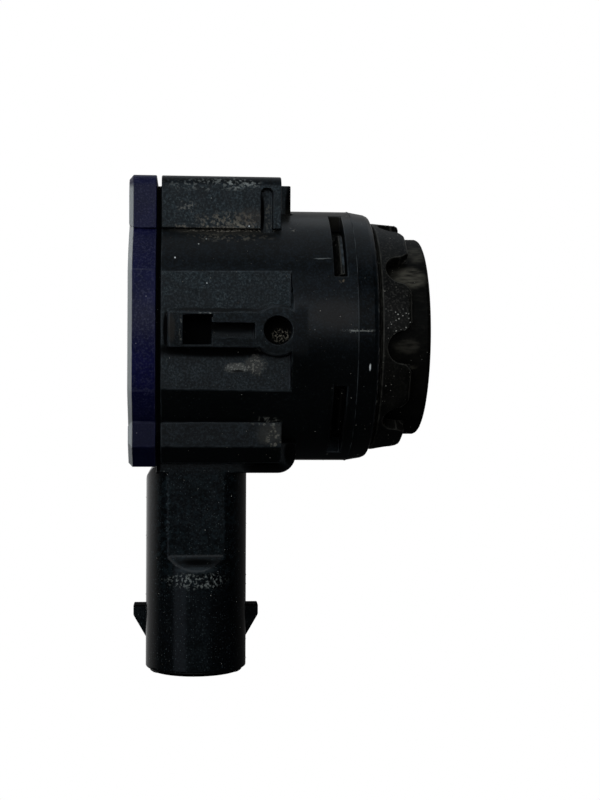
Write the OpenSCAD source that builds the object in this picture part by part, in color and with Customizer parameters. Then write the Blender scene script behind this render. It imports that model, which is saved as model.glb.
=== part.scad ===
// Ultrasonic parking sensor: barrel along +X, plug socket down, millimetres.
// X = 0 is the front end of the upper and lower rails, on the barrel's axis.

/* [Barrel] */
// Outside diameter of the barrel
barrel_d = 23.3; // [22:0.1:25]
// Wall of the barrel and of the rear chamber
barrel_wall = 1.55; // [1.3:0.05:1.7]
// Front face of the barrel, from the rail ends
barrel_front = 8.41; // [8:0.01:9]
// Draft between the rails, as a drop in the barrel's radius at the rear
barrel_draft = 0.06; // [0.02:0.02:0.2]
// Length of the lead-in at the barrel's front, with its rounded lip
lead_in = 1.94; // [1.2:0.02:3]
// Drop in radius along the lead-in
lead_drop = 0.24; // [0.1:0.02:0.5]
// Height and length of the rounded lip at the very front
lip = 0.52; // [0.3:0.02:0.8]
// Distance of the snap windows' rear edge from the barrel's front
window_back = 3.96; // [3.6:0.02:4.4]
// Length of a snap window along the axis
window_len = 1.14; // [1:0.02:1.4]
// Angle at the middle of a window, above the side of the barrel
window_mid = 46; // [42:1:52]
// Angle that a window spans
window_arc = 43.5; // [36:0.5:50]

/* [Rear body] */
// Length of the housing's body behind the rail ends
body_len = 10.6; // [9.2:0.01:12]
// Step of the rails' side faces where they leave the barrel
rail_step = 0.45; // [0.2:0.05:0.8]
// Height of the top face over the barrel
rail_over = 2.28; // [1.8:0.02:2.6]
// How far the rails' lower face stays inside the barrel's radius
rail_under = 0.04; // [0:0.02:0.3]
// Height of the upper rails
rail_h = 4.77; // [4.2:0.01:5.2]
// Height of the lower rails
low_rail_h = 3.6; // [3.2:0.05:4]
// Rounding of the top rails' outer edge
rail_round = 1.2; // [0.6:0.05:1.6]
// Slope on the lower rails' outer edge
rail_slope = 1.5; // [1:0.05:2]
// Depth of the side flats in the barrel
panel_deep = 1.23; // [1.1:0.01:1.5]
// Front end of the side flats
panel_front = 0.65; // [0.3:0.05:1.1]
// Width of the welded gap between body and cover
weld_gap = 0.42; // [0.3:0.02:0.6]
// Depth of the welded gap
weld_deep = 0.85; // [0.5:0.05:1]
// Half width of the key rib on the top
key_y = 4; // [3:0.1:5]
// Depth of the key rib under the top face
key_under = 0.38; // [0.2:0.02:0.6]
// Front end of the key rib
key_front = 1.06; // [0.8:0.01:1.4]
// Half width of the block under the barrel
foot_y = 6.23; // [6:0.01:7]
// Height of that block under the rails
foot_h = 0.94; // [0.7:0.02:1.3]
// Front end of the block under the barrel
foot_front = 1.43; // [1.2:0.01:1.9]
// Rounding of the block's lower front edge
foot_round = 1.6; // [1:0.05:2]
// Distance of the groove in each top rail from the rail's end
groove_back = 0.77; // [0.5:0.01:1.2]
// Width of the groove in each top rail
groove_w = 1.04; // [0.8:0.02:1.3]
// Distance of the groove's rounded top from the top face
groove_under = 1.13; // [0.8:0.01:1.6]
// Depth of the groove
groove_deep = 0.7; // [0.4:0.05:1]

/* [Side latch] */
// Half height of the latch bar
latch_h = 1.5; // [1.4:0.05:1.8]
// Distance of the latch bar from the body's rear end
latch_in = 0.58; // [0.3:0.02:0.9]
// Distance of the deep pocket from the body's rear end
pocket_in = 1.93; // [1.6:0.01:2.2]
// Length of the deep pocket
pocket_len = 2.45; // [2:0.05:2.8]
// Half height of the deep pocket
pocket_h = 1.26; // [1:0.02:1.36]
// Depth of the pocket's floor under the side flat
pocket_deep = 0.8; // [0.4:0.05:0.9]
// Overlap of the guide slot and the round boss
slot_over = 0.25; // [0.1:0.01:0.5]
// Half height of the guide slot
slot_h = 0.64; // [0.5:0.02:0.8]
// Depth of the guide slot in the latch bar
slot_deep = 0.9; // [0.6:0.05:1.2]
// Distance of the round boss's middle from the rail ends
boss_back = 0.5; // [0.2:0.01:0.9]
// Radius of the round boss
boss_r = 2.26; // [2:0.02:2.6]
// Radius of the blind hole in the boss
dimple_r = 1.24; // [1:0.02:1.4]
// Depth of the blind hole in the boss
dimple_deep = 1.55; // [1:0.05:1.65]

/* [Plug socket] */
// Distance of the socket's middle from the body's rear end
plug_in = 3.19; // [2.9:0.01:3.5]
// Outside width of the socket along the barrel's axis
plug_w = 9.16; // [9:0.02:9.4]
// Outside depth of the socket across the barrel
plug_d = 14; // [13:0.1:15]
// Reach of the socket under the rails
plug_len = 19.09; // [18:0.01:21]
// Wall of the socket
plug_wall = 1.15; // [1:0.05:1.4]
// Depth of the socket
socket_deep = 10.4; // [9:0.1:11]
// Rounding of the socket's shoulder under the cover
plug_round = 1.3; // [0.8:0.05:1.6]
// Depth of the flat on each side of the socket
flat_deep = 0.77; // [0.5:0.02:1]
// Length of that flat under the rails
flat_len = 8.39; // [8:0.01:9.2]
// Height of the slope that ends the flat
flat_slope = 1.2; // [0.8:0.05:1.4]
// Distance of the latch tabs' catch face from the socket's end
tab_up = 5.65; // [5.2:0.05:6.4]
// Reach of the latch tabs from the socket's wall
tab_out = 1.2; // [0.9:0.02:1.4]
// Straight land of a tab under its catch face
tab_land = 0.95; // [0.6:0.05:1.3]
// Height of a tab with its ramp
tab_h = 3.1; // [2.8:0.05:4]
// Half width of a tab
tab_y = 1; // [0.8:0.1:3]
// Lead-in on the socket's open end
plug_lead = 0.35; // [0.2:0.05:0.5]

/* [Rear cover] */
// Thickness of the cover
cover_t = 2.42; // [1.8:0.02:3]
// Reach of the cover beyond the body's outline
cover_out = 0.05; // [0:0.05:0.2]
// Reach of the cover under the rails
cover_under = 0.35; // [0.2:0.05:0.6]
// Rear edge chamfer
cover_edge = 0.36; // [0.2:0.02:0.5]
// Wall of the collar that holds the board
collar_wall = 1; // [0.8:0.05:1.4]

/* [Retaining ring] */
// Gap between the barrel's front and the ring
ring_gap = 0.16; // [0.1:0.02:0.3]
// How far the ring stays inside the barrel's radius
ring_under = 1.03; // [0.9:0.01:1.2]
// Drop in the ring's radius toward its front
ring_taper = 0.2; // [0.1:0.02:0.3]
// Length of the ring in front of the barrel
ring_len = 2.86; // [2.6:0.02:3.4]
// Edge rounding of the ring
ring_edge = 0.4; // [0.2:0.05:0.6]
// Wall of the ring's skirt in the barrel
skirt_wall = 0.7; // [0.5:0.05:0.9]
// How far the skirt reaches behind the snap windows
skirt_back = 0.54; // [0.4:0.02:0.8]
// Number of scallops
scallops = 9; // [7:1:10]
// Turn of the first scallop from the side of the barrel
scallop_turn = -7.5; // [-22:0.5:22]
// Half width of a scallop
scallop_r = 1.45; // [1.2:0.05:1.6]
// Half width of a scallop at the ring's front
scallop_flare = 2.3; // [2:0.05:2.5]
// Depth of a scallop along the axis
scallop_deep = 2.26; // [2:0.02:2.5]
// Reach of a snap lug from the bore
lug_out = 0.85; // [0.6:0.05:1.1]
// Angle that a snap lug spans
lug_arc = 26; // [16:1:30]
// Angle between the middle of a lug and of its window
lug_turn = 5.5; // [0:0.5:6]

/* [Sounder] */
// Gap between the nose and the ring around it
nose_gap = 0.13; // [0.05:0.01:0.25]
// Reach of the nose in front of the ring
nose_out = 1.8; // [1.4:0.05:2.4]
// Edge rounding of the nose
nose_edge = 0.35; // [0.2:0.05:0.5]
// Wall of silicone around the pot
nose_wall = 1.42; // [1.2:0.02:1.6]
// Seat of the silicone inside the barrel, from the rail ends
seat_x = 2.13; // [1.8:0.01:2.5]
// Width of that seat under the pot
seat_in = 1.15; // [0.8:0.05:1.4]
// Thickness of the wall behind the seat
seat_wall = 1.8; // [1.2:0.05:2.2]
// Wall of the pot
pot_wall = 1.2; // [0.9:0.05:1.5]
// Thickness of the membrane
membrane_t = 0.9; // [0.6:0.05:1.1]
// Depth of silicone behind the pot
pot_in = 2.2; // [1.8:0.05:2.6]
// Height of the collar on the pot
pot_collar = 0.5; // [0.3:0.05:0.7]
// Thickness of the cheeks of the pot's oblong chamber
pot_cheek = 1.95; // [1.6:0.05:2.2]
// Gap between the piezo disc and those cheeks
piezo_gap = 0.6; // [0.4:0.05:1]
// Thickness of the piezo disc
piezo_t = 0.3; // [0.2:0.05:0.5]
// Thickness of the plug that closes the pot
carrier_t = 2; // [1.6:0.05:2.4]
// Width of the contacts
contact_w = 0.6; // [0.5:0.05:0.8]
// Distance of a contact from the middle plane
contact_off = 2.5; // [2:0.05:3]
// Reach of the contacts and terminals through the board
solder_end = 0.6; // [0.4:0.05:0.8]
// Radius of the fine leads
lead_r = 0.15; // [0.1:0.01:0.2]

/* [Electronics] */
// Width of the ledge that the board rests on
ledge = 0.5; // [0.4:0.05:0.8]
// Distance of the board's front face from the body's rear end
board_in = 1.93; // [1.7:0.01:2.1]
// Thickness of the circuit board
board_t = 1; // [0.8:0.1:1.2]
// Width of a plug terminal
pin_w = 0.64; // [0.5:0.02:0.8]
// Distance between plug terminals
pin_pitch = 2.54; // [2.2:0.02:2.8]
// Distance of the terminals' tips from the socket's end
pin_inset = 4.9; // [4.5:0.1:6]
// Distance of the terminals' bend from the chamber's lowest point
bend_up = 2; // [1.7:0.05:2.5]
// Height of the transformer over the axis, as a share of the chamber's radius
coil_up = 0.455; // [0.44:0.005:0.49]
// Radius of the transformer's winding
coil_r = 2.4; // [2:0.05:2.5]
// Height of the transformer
coil_h = 5; // [4:0.1:6]
// Thickness of the transformer's core
core_t = 1; // [0.8:0.05:1.2]
// Radius of the core's middle post
post_r = 1.2; // [1:0.05:1.3]
// Wall of the bobbin
bobbin_t = 0.5; // [0.4:0.05:0.6]

/* [Small parts on the board] */
// Side of the signal chip
chip_side = 5; // [4:0.1:5.2]
// Height of the signal chip
chip_t = 0.9; // [0.7:0.05:1.2]
// Distance of the big parts from the middle plane, as a share of the chamber's radius
chip_off = 0.445; // [0.42:0.005:0.46]
// Depth of the signal chip under the axis, as a share of the chamber's radius
chip_low = 0.376; // [0.35:0.002:0.39]
// Length of the storage capacitor
store_l = 3.5; // [3:0.1:3.8]
// Width of the storage capacitor
store_w = 2.8; // [2.4:0.1:3]
// Height of the storage capacitor
store_t = 1.9; // [1.6:0.1:2.2]
// Depth of the storage capacitor under the axis, as a share of the chamber's radius
store_low = 0.337; // [0.32:0.001:0.345]
// Length of the protection diode
diode_l = 2.7; // [2.4:0.1:3]
// Width of the protection diode
diode_w = 1.6; // [1.4:0.05:1.8]
// Height of the protection diode
diode_t = 1.1; // [0.9:0.05:1.3]
// Length of a small chip part
small_l = 1.6; // [1.4:0.05:1.8]
// Width of a small chip part
small_w = 0.8; // [0.6:0.05:1]
// Height of a chip capacitor
small_cap_t = 0.8; // [0.6:0.05:1]
// Height of a chip resistor
small_res_t = 0.45; // [0.4:0.05:0.6]
// Distance of the small parts from the middle plane, as a share of the chamber's radius
small_off = 0.575; // [0.55:0.005:0.61]
// Distance between the rows of small parts, as a share of the chamber's radius
small_row = 0.178; // [0.14:0.002:0.19]

/* [Clearances] */
// Gap between a part and the bore that it slides into
slide = 0.1; // [0.05:0.01:0.15]
// Gap of a snap lug in its window
snap = 0.1; // [0.05:0.01:0.2]
// Gap around a pin in a soldered hole
solder = 0.15; // [0.1:0.01:0.2]

/* [Hidden] */
$fn = 96;
barrel_r = barrel_d / 2;
bore_r = barrel_r - barrel_wall;
lip_start = barrel_front - lip;
lead_start = lip_start - lead_in + lip;
window_x = barrel_front - window_back;
body_rear = -body_len;
rail_top = barrel_r + rail_over;
rail_low = barrel_r - rail_under;
gap_top = rail_top - rail_h;
gap_low = rail_low - low_rail_h;
rail_y = sqrt(barrel_r * barrel_r - gap_top * gap_top) + rail_step;
low_rail_y = sqrt(barrel_r * barrel_r - gap_low * gap_low) + rail_step;
panel_y = barrel_r - panel_deep;
key_top = rail_top - key_under;
foot_low = rail_low + foot_h;
groove_x = -groove_back - groove_w;
groove_top = rail_top - groove_under;
boss_x = -boss_back;
latch_rear = body_rear + latch_in;
pocket_x = body_rear + pocket_in;
pocket_front = pocket_x + pocket_len;
pocket_y = panel_y - pocket_deep;
slot_front = boss_x - boss_r + slot_over;
slot_y = barrel_r - slot_deep;
dimple_y = barrel_r - dimple_deep;
plug_x = body_rear + plug_in;
plug_r = plug_w / 2;
plug_mid = plug_d / 2 - plug_r;
plug_end = rail_low + plug_len;
plug_floor = plug_end - socket_deep;
flat_y = plug_d / 2 - flat_deep;
flat_end = rail_low + flat_len;
tab_top = plug_end - tab_up;
cover_front = body_rear - weld_gap;
cover_rear = cover_front - cover_t;
cover_top = rail_top;
cover_low = rail_low + cover_under;
cover_round = rail_round;
cover_slope = rail_slope + cover_under;
ring_rear = barrel_front + ring_gap;
ring_front = ring_rear + ring_len;
ring_r = barrel_r - ring_under;
ring_front_r = ring_r - ring_taper;
ring_hole_r = bore_r - slide - skirt_wall;
skirt_x = window_x - skirt_back;
lug_r = bore_r + lug_out;
nose_r = ring_hole_r - nose_gap;
nose_front = ring_front + nose_out;
pot_r = nose_r - nose_wall;
cavity_r = pot_r - pot_wall;
seat_hole_r = pot_r - seat_in;
pot_rear = seat_x + pot_in;
pot_flat = cavity_r - pot_cheek;
piezo_r = pot_flat - piezo_gap;
membrane_x = nose_front - membrane_t;
piezo_rear = membrane_x - piezo_t;
carrier_front = pot_rear + carrier_t;
collar_rear = pot_rear + pot_collar;
collar_front = collar_rear + 2.8 * pot_collar;
chamber_r = bore_r;
chamber_y = panel_y - barrel_wall;
chamber_front = seat_x - seat_wall;
board_x = body_rear + board_in;
board_rear = board_x - board_t;
contact_rear = board_rear - solder_end;
pin_rear = board_rear - solder_end;
pin_tip = plug_end - pin_inset;
pin_bend = chamber_r - bend_up;
coil_top = board_x + coil_h;
coil_z = coil_up * chamber_r;
chip_y = chip_off * chamber_r;
small_y = small_off * chamber_r;
store_z = -store_low * chamber_r;
bobbin_r = post_r + bobbin_t - slide;
core_y = coil_r + 0.7 * bobbin_t;
window_mids = [window_mid, 180 - window_mid, 180 + window_mid, 360 - window_mid];
lug_mids = [window_mid - lug_turn, 180 - window_mid + lug_turn, 180 + window_mid - lug_turn,
    360 - window_mid + lug_turn];

module along_x(x0, x1) {
    translate([x0, 0, 0]) rotate([90, 0, 90]) linear_extrude(height = x1 - x0) children();
}

module around_x() {
    rotate([0, 90, 0]) rotate_extrude() children();
}

// Angles rise from the near side of the barrel toward its top
module arc_x(mid, arc) {
    rotate([0, 90, 0]) rotate([0, 0, 270 - mid - arc / 2]) rotate_extrude(angle = arc) children();
}

module both_sides() {
    children();
    mirror([0, 1, 0]) children();
}

module block(x0, x1, y0, y1, z0, z1) {
    translate([x0, y0, z0]) cube([x1 - x0, y1 - y0, z1 - z0]);
}

// Top slab of an outline, with its two upper corners rounded
module top_slab(half, low, high, round_r) {
    translate([-half, low]) square([2 * half, high - low - round_r]);
    translate([-half + round_r, low]) square([2 * (half - round_r), high - low]);
    for (s = [-1, 1]) translate([s * (half - round_r), high - round_r]) circle(r = round_r);
}

// Bottom slab of an outline, with its two lower corners sloped
module bottom_slab(half, high, low, slope) {
    polygon([[-half, -high], [-half, -low + slope], [-half + slope, -low],
        [half - slope, -low], [half, -low + slope], [half, -high]]);
}

module rail_outline() {
    top_slab(rail_y, gap_top, rail_top, rail_round);
    bottom_slab(low_rail_y, gap_low, rail_low, rail_slope);
}

module neck_outline() {
    intersection() {
        circle(r = barrel_r - weld_deep);
        square([2 * (panel_y - weld_deep), 3 * barrel_r], center = true);
    }
    top_slab(rail_y - weld_deep, 0, rail_top - weld_deep, rail_round);
    bottom_slab(low_rail_y - weld_deep, 0, rail_low - weld_deep, rail_slope);
    translate([-foot_y, -foot_low]) square([2 * foot_y, foot_low - gap_low]);
}

module chamber_outline(shrink) {
    intersection() {
        circle(r = chamber_r - shrink);
        square([2 * (chamber_y - shrink), 3 * chamber_r], center = true);
    }
}

module plug_outline(shrink) {
    translate([-plug_r + shrink, -plug_mid]) square([plug_w - 2 * shrink, 2 * plug_mid]);
    for (s = [-1, 1]) translate([0, s * plug_mid]) circle(r = plug_r - shrink);
}

module barrel_form() {
    around_x() polygon([[0, body_rear], [barrel_r - barrel_draft, body_rear], [barrel_r, foot_front],
        [barrel_r, lead_start],
        [barrel_r - lead_drop, lip_start],
        [barrel_r - lead_drop - 0.3 * lip, barrel_front - 0.3 * lip],
        [barrel_r - lead_drop - lip, barrel_front], [0, barrel_front]]);
}

module foot_form() {
    rotate([90, 0, 0]) translate([0, 0, -foot_y]) linear_extrude(height = 2 * foot_y) {
        translate([body_rear, -foot_low]) square([foot_front - foot_round - body_rear, foot_low]);
        translate([body_rear, -foot_low + foot_round])
            square([foot_front - body_rear, foot_low - foot_round]);
        translate([foot_front - foot_round, -foot_low + foot_round]) circle(r = foot_round);
    }
}

// What is cut from the side of the barrel, with the latch left standing
module panel_cut() {
    difference() {
        block(body_rear - 1, panel_front, -barrel_r - 1, -panel_y, -gap_low + 1.2, gap_low - 1.2);
        block(latch_rear, panel_front + 1, -barrel_r - 2, 0, -latch_h, latch_h);
        translate([boss_x, 0, 0]) rotate([90, 0, 0]) cylinder(r = boss_r, h = 2 * barrel_r);
    }
}

module latch_holes() {
    block(pocket_x, pocket_front, -barrel_r - 1, -pocket_y, -pocket_h, pocket_h);
    block(pocket_front - 0.1, slot_front, -barrel_r - 1, -slot_y, -slot_h, slot_h);
    translate([boss_x, -dimple_y, 0]) rotate([90, 0, 0]) cylinder(r = dimple_r, h = 3);
    translate([groove_x, -rail_y - 1, gap_top - 0.3])
        cube([groove_w, 1 + groove_deep, groove_top - groove_w / 2 - gap_top + 0.3]);
    translate([groove_x + groove_w / 2, -rail_y + groove_deep, groove_top - groove_w / 2])
        rotate([90, 0, 0]) cylinder(r = groove_w / 2, h = 1 + groove_deep);
}

module plug_form() {
    difference() {
        translate([plug_x, 0, -plug_end]) union() {
            translate([0, 0, plug_lead]) linear_extrude(height = plug_end - plug_lead - 2) plug_outline(0);
            linear_extrude(height = plug_end - 10) plug_outline(plug_lead);
        }
        difference() {
            block(plug_x - plug_r - 1, body_rear, -plug_d, plug_d, -cover_low - slide - plug_round, 0);
            translate([plug_x - plug_r + plug_round, plug_d, -cover_low - slide - plug_round])
                rotate([90, 0, 0]) cylinder(r = plug_round, h = 2 * plug_d);
            block(plug_x - plug_r + plug_round, body_rear + 1, -plug_d, plug_d,
                -cover_low - slide - plug_round - 1, -cover_low - slide);
        }
        block(plug_x - plug_r - 1, body_rear, -plug_d, plug_d, -cover_low - slide, 0);
        both_sides() translate([plug_x - plug_w, 0, 0]) rotate([90, 0, 90]) linear_extrude(height = 2 * plug_w)
            polygon([[flat_y, -rail_low + 1], [flat_y, -flat_end], [plug_d / 2 + 1, -flat_end - flat_slope *
                (1 + flat_deep) / flat_deep], [plug_d / 2 + 1, -rail_low + 1]]);
    }
    for (s = [0, 1]) translate([plug_x, 0, 0]) mirror([s, 0, 0]) rotate([90, 0, 0])
        translate([0, 0, -tab_y]) linear_extrude(height = 2 * tab_y)
            polygon([[0, -tab_top], [plug_r + tab_out, -tab_top], [plug_r + tab_out, -tab_top - tab_land],
                [plug_r - 0.05, -tab_top - tab_h], [0, -tab_top - tab_h]]);
}

module terminal_shape(y, w) {
    block(plug_x - w / 2, plug_x + w / 2, y - w / 2, y + w / 2, -pin_tip, -pin_bend + w / 2);
    block(pin_rear, plug_x + w / 2, y - w / 2, y + w / 2, -pin_bend - w / 2, -pin_bend + w / 2);
}

module housing() color([0.09, 0.1, 0.11]) {
    difference() {
        union() {
            barrel_form();
            along_x(body_rear, 0) rail_outline();
            along_x(cover_front, body_rear + 0.5) neck_outline();
            block(body_rear, key_front, -key_y, key_y, 0, key_top);
            foot_form();
            plug_form();
        }
        both_sides() panel_cut();
        both_sides() latch_holes();
        for (m = window_mids) arc_x(m, window_arc)
            translate([bore_r - 1, window_x]) square([barrel_r - bore_r + 2, window_len]);
        around_x() translate([0, seat_x]) square([bore_r, barrel_front]);
        around_x() translate([0, chamber_front - 1]) square([seat_hole_r, seat_wall + 2]);
        along_x(cover_front - 1, board_x) chamber_outline(0);
        along_x(board_x - 1, chamber_front) chamber_outline(ledge);
        translate([plug_x, 0, -plug_end - 1]) linear_extrude(height = plug_end - plug_floor + 1)
            plug_outline(plug_wall);
        for (i = [-1, 0, 1]) terminal_shape(i * pin_pitch, pin_w);
    }
}

module cover_outline(inset) {
    intersection() {
        circle(r = barrel_r + cover_out - inset);
        square([2 * (panel_y + cover_out - inset), 3 * barrel_r], center = true);
    }
    top_slab(rail_y + cover_out - inset, gap_top - cover_out + inset, cover_top - inset, cover_round);
    bottom_slab(low_rail_y + cover_out - inset, gap_low - cover_out + inset, cover_low - inset, cover_slope);
}

module rear_cover() color([0.12, 0.1, 0.22]) {
    along_x(cover_rear + cover_edge, cover_front) cover_outline(0);
    along_x(cover_rear, cover_rear + cover_edge) cover_outline(cover_edge);
    difference() {
        along_x(cover_front - 0.5, board_rear) chamber_outline(slide);
        along_x(cover_front, board_rear + 1) chamber_outline(slide + collar_wall);
    }
}

module scallop() {
    translate([0, 0, nose_r]) linear_extrude(height = 3) {
        translate([ring_front - scallop_deep + scallop_r, 0]) circle(r = scallop_r);
        polygon([[ring_front - scallop_deep + scallop_r, -scallop_r],
            [ring_front - 0.2 * scallop_flare, -scallop_r - 0.25],
            [ring_front + 0.1, -scallop_flare], [ring_front + 0.1, scallop_flare],
            [ring_front - 0.2 * scallop_flare, scallop_r + 0.25],
            [ring_front - scallop_deep + scallop_r, scallop_r]]);
    }
}

module retaining_ring() color([0.1, 0.095, 0.09]) {
    difference() {
        around_x() polygon([[ring_hole_r, skirt_x], [bore_r - slide, skirt_x], [bore_r - slide, ring_rear],
            [ring_r - ring_edge / 2, ring_rear], [ring_r, ring_rear + ring_edge / 2],
            [ring_front_r, ring_front - ring_edge], [ring_front_r - 0.3 * ring_edge, ring_front - 0.3 * ring_edge],
            [ring_front_r - ring_edge, ring_front], [ring_hole_r, ring_front]]);
        for (i = [0 : scallops - 1]) rotate([90 - scallop_turn - i * 360 / scallops, 0, 0]) scallop();
    }
    for (m = lug_mids) arc_x(m, lug_arc)
        polygon([[bore_r - slide - 0.3, window_x + snap], [bore_r - slide, window_x + snap],
            [lug_r, window_x + 0.6 * window_len], [lug_r, window_x + window_len - snap],
            [bore_r - slide - 0.3, window_x + window_len - snap]]);
}

module decoupling_ring() color([0.08, 0.075, 0.07]) {
    difference() {
        around_x() polygon([[pot_r, seat_x], [bore_r - slide, seat_x], [bore_r - slide, skirt_x],
            [nose_r, skirt_x], [nose_r, nose_front - nose_edge],
            [nose_r - 0.3 * nose_edge, nose_front - 0.3 * nose_edge],
            [nose_r - nose_edge, nose_front], [pot_r, nose_front]]);
        around_x() translate([0, collar_rear]) square([pot_r + pot_collar, collar_front - collar_rear]);
    }
}

module pot_cavity(shrink) {
    intersection() {
        circle(r = cavity_r - shrink);
        square([3 * cavity_r, 2 * (pot_flat - shrink)], center = true);
    }
}

module membrane_pot() color([0.16, 0.16, 0.16]) {
    difference() {
        around_x() polygon([[0, pot_rear], [pot_r, pot_rear], [pot_r, collar_rear],
            [pot_r + pot_collar, collar_rear], [pot_r + pot_collar, collar_front], [pot_r, collar_front],
            [pot_r, nose_front - 0.15], [pot_r - 0.15, nose_front], [0, nose_front]]);
        around_x() translate([0, pot_rear - 1]) square([cavity_r, carrier_t + 1]);
        along_x(carrier_front - 0.1, membrane_x) pot_cavity(0);
    }
}

module piezo_disc() color([0.72, 0.66, 0.5]) {
    along_x(piezo_rear, membrane_x) circle(r = piezo_r);
}

module lead_path(r) {
    translate([carrier_front, contact_off, 0]) rotate([0, 90, 0]) cylinder(r = r, h = piezo_rear - carrier_front);
    translate([carrier_front, -contact_off, 0]) rotate([0, 90, 0]) cylinder(r = r, h = 0.8);
    translate([carrier_front + 0.8, -contact_off, 0]) sphere(r = r);
    translate([carrier_front + 0.8, -piezo_r - 1, 0]) rotate([-90, 0, 0])
        cylinder(r = r, h = piezo_r + 1 - contact_off);
    translate([carrier_front + 0.8, -piezo_r - 1, 0]) sphere(r = r);
    translate([carrier_front + 0.8, -piezo_r - 1, 0]) rotate([0, 90, 0])
        cylinder(r = r, h = membrane_x - carrier_front - 0.8);
}

module damping_foam() color([0.3, 0.3, 0.32]) {
    difference() {
        along_x(carrier_front, piezo_rear) pot_cavity(slide);
        lead_path(lead_r + slide);
        block(carrier_front - 1, carrier_front + 0.8 + lead_r + slide, -piezo_r - 1 - lead_r - slide,
            -contact_off + lead_r + slide, -lead_r - slide, lead_r + slide);
    }
}

module contact_carrier() color([0.75, 0.72, 0.65]) {
    difference() {
        union() {
            around_x() translate([0, pot_rear]) square([cavity_r - slide, carrier_t]);
            block(0, pot_rear + 0.5, -contact_off - 1.4, contact_off + 1.4, -1.6, 1.6);
        }
        for (s = [-1, 1]) block(-1, carrier_front + 1, s * contact_off - contact_w / 2,
            s * contact_off + contact_w / 2, -contact_w / 2, contact_w / 2);
    }
}

module transducer_contacts() color([0.8, 0.72, 0.45]) {
    for (s = [-1, 1]) block(contact_rear, carrier_front, s * contact_off - contact_w / 2,
        s * contact_off + contact_w / 2, -contact_w / 2, contact_w / 2);
}

module piezo_leads() color([0.75, 0.45, 0.25]) lead_path(lead_r);

module circuit_board() color([0.1, 0.3, 0.16]) {
    difference() {
        along_x(board_rear, board_x) chamber_outline(slide);
        for (s = [-1, 1]) translate([board_rear - 1, s * contact_off, 0]) rotate([0, 90, 0])
            cylinder(r = contact_w * 0.71 + solder, h = board_t + 2);
        for (i = [-1, 0, 1]) translate([board_rear - 1, i * pin_pitch, -pin_bend]) rotate([0, 90, 0])
            cylinder(r = pin_w * 0.71 + solder, h = board_t + 2);
    }
}

// A small part soldered flat on the board's front
module chip(y, z, wide, tall, thick) {
    block(board_x, board_x + thick, y - wide / 2, y + wide / 2, z - tall / 2, z + tall / 2);
}

module signal_chip() color([0.12, 0.12, 0.13]) 
    chip(-chip_y, -chip_low * chamber_r, chip_side, chip_side, chip_t);

module transformer_core() color([0.25, 0.25, 0.26]) {
    translate([0, 0, coil_z]) {
        translate([board_x, 0, 0]) rotate([0, 90, 0]) cylinder(r = post_r, h = coil_h - core_t + 0.2);
        block(coil_top - core_t, coil_top, -core_y - core_t, core_y + core_t, -coil_r, coil_r);
        both_sides() block(board_x, coil_top - core_t + 0.2, core_y, core_y + core_t, -coil_r, coil_r);
    }
}

module transformer_bobbin() color([0.85, 0.83, 0.75]) {
    translate([0, 0, coil_z]) around_x() polygon([[post_r, board_x], [coil_r + 0.2, board_x],
        [coil_r + 0.2, board_x + bobbin_t], [bobbin_r, board_x + bobbin_t],
        [bobbin_r, coil_top - core_t - bobbin_t], [coil_r + 0.2, coil_top - core_t - bobbin_t],
        [coil_r + 0.2, coil_top - core_t], [post_r, coil_top - core_t]]);
}

module transformer_winding() color([0.7, 0.35, 0.15]) {
    translate([0, 0, coil_z]) around_x() translate([bobbin_r, board_x + bobbin_t])
        square([coil_r - bobbin_r, coil_h - core_t - 2 * bobbin_t]);
}

module storage_capacitor() color([0.75, 0.6, 0.2]) 
    chip(chip_y, store_z, store_l, store_w, store_t);

// One pair of small parts, a row number up from the axis
module small_pair(row, thick) {
    both_sides() chip(small_y, small_w / 2 + row * small_row * chamber_r, small_l, small_w, thick);
}

module chip_capacitors() color([0.6, 0.5, 0.4]) for (row = [1, 2]) small_pair(row, small_cap_t);

module chip_resistors() color([0.15, 0.15, 0.16]) for (row = [0, 3]) small_pair(row, small_res_t);

module protection_diode() color([0.1, 0.1, 0.1]) 
    chip(chip_y, store_z - store_w / 2 - 0.8 * diode_w, diode_l, diode_w, diode_t);

module terminal_supply() color([0.8, 0.72, 0.45]) terminal_shape(-pin_pitch, pin_w);

module terminal_signal() color([0.8, 0.72, 0.45]) terminal_shape(0, pin_w);

module terminal_ground() color([0.8, 0.72, 0.45]) terminal_shape(pin_pitch, pin_w);

housing();
rear_cover();
retaining_ring();
decoupling_ring();
membrane_pot();
piezo_disc();
damping_foam();
contact_carrier();
transducer_contacts();
piezo_leads();
circuit_board();
signal_chip();
transformer_core();
transformer_bobbin();
transformer_winding();
storage_capacitor();
chip_capacitors();
chip_resistors();
protection_diode();
terminal_supply();
terminal_signal();
terminal_ground();
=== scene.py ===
# %% [markdown]
# # A used parking sensor on a white ground
#
# The real thing is a black moulded barrel that sits in a car's bumper, with a silicone nose in a
# scalloped ring, a violet welded cover at the rear and a plug socket below. It has seen some road:
# dust, dried mud in the corners and scuffed edges. The solids arrive as a fixed frame, in metres.
# Every piece below is laid over that frame, so nothing has to be fitted by eye.

# %% Load the solids
import math

import bmesh
import bpy
import numpy as np
from mathutils import Matrix, Vector


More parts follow.
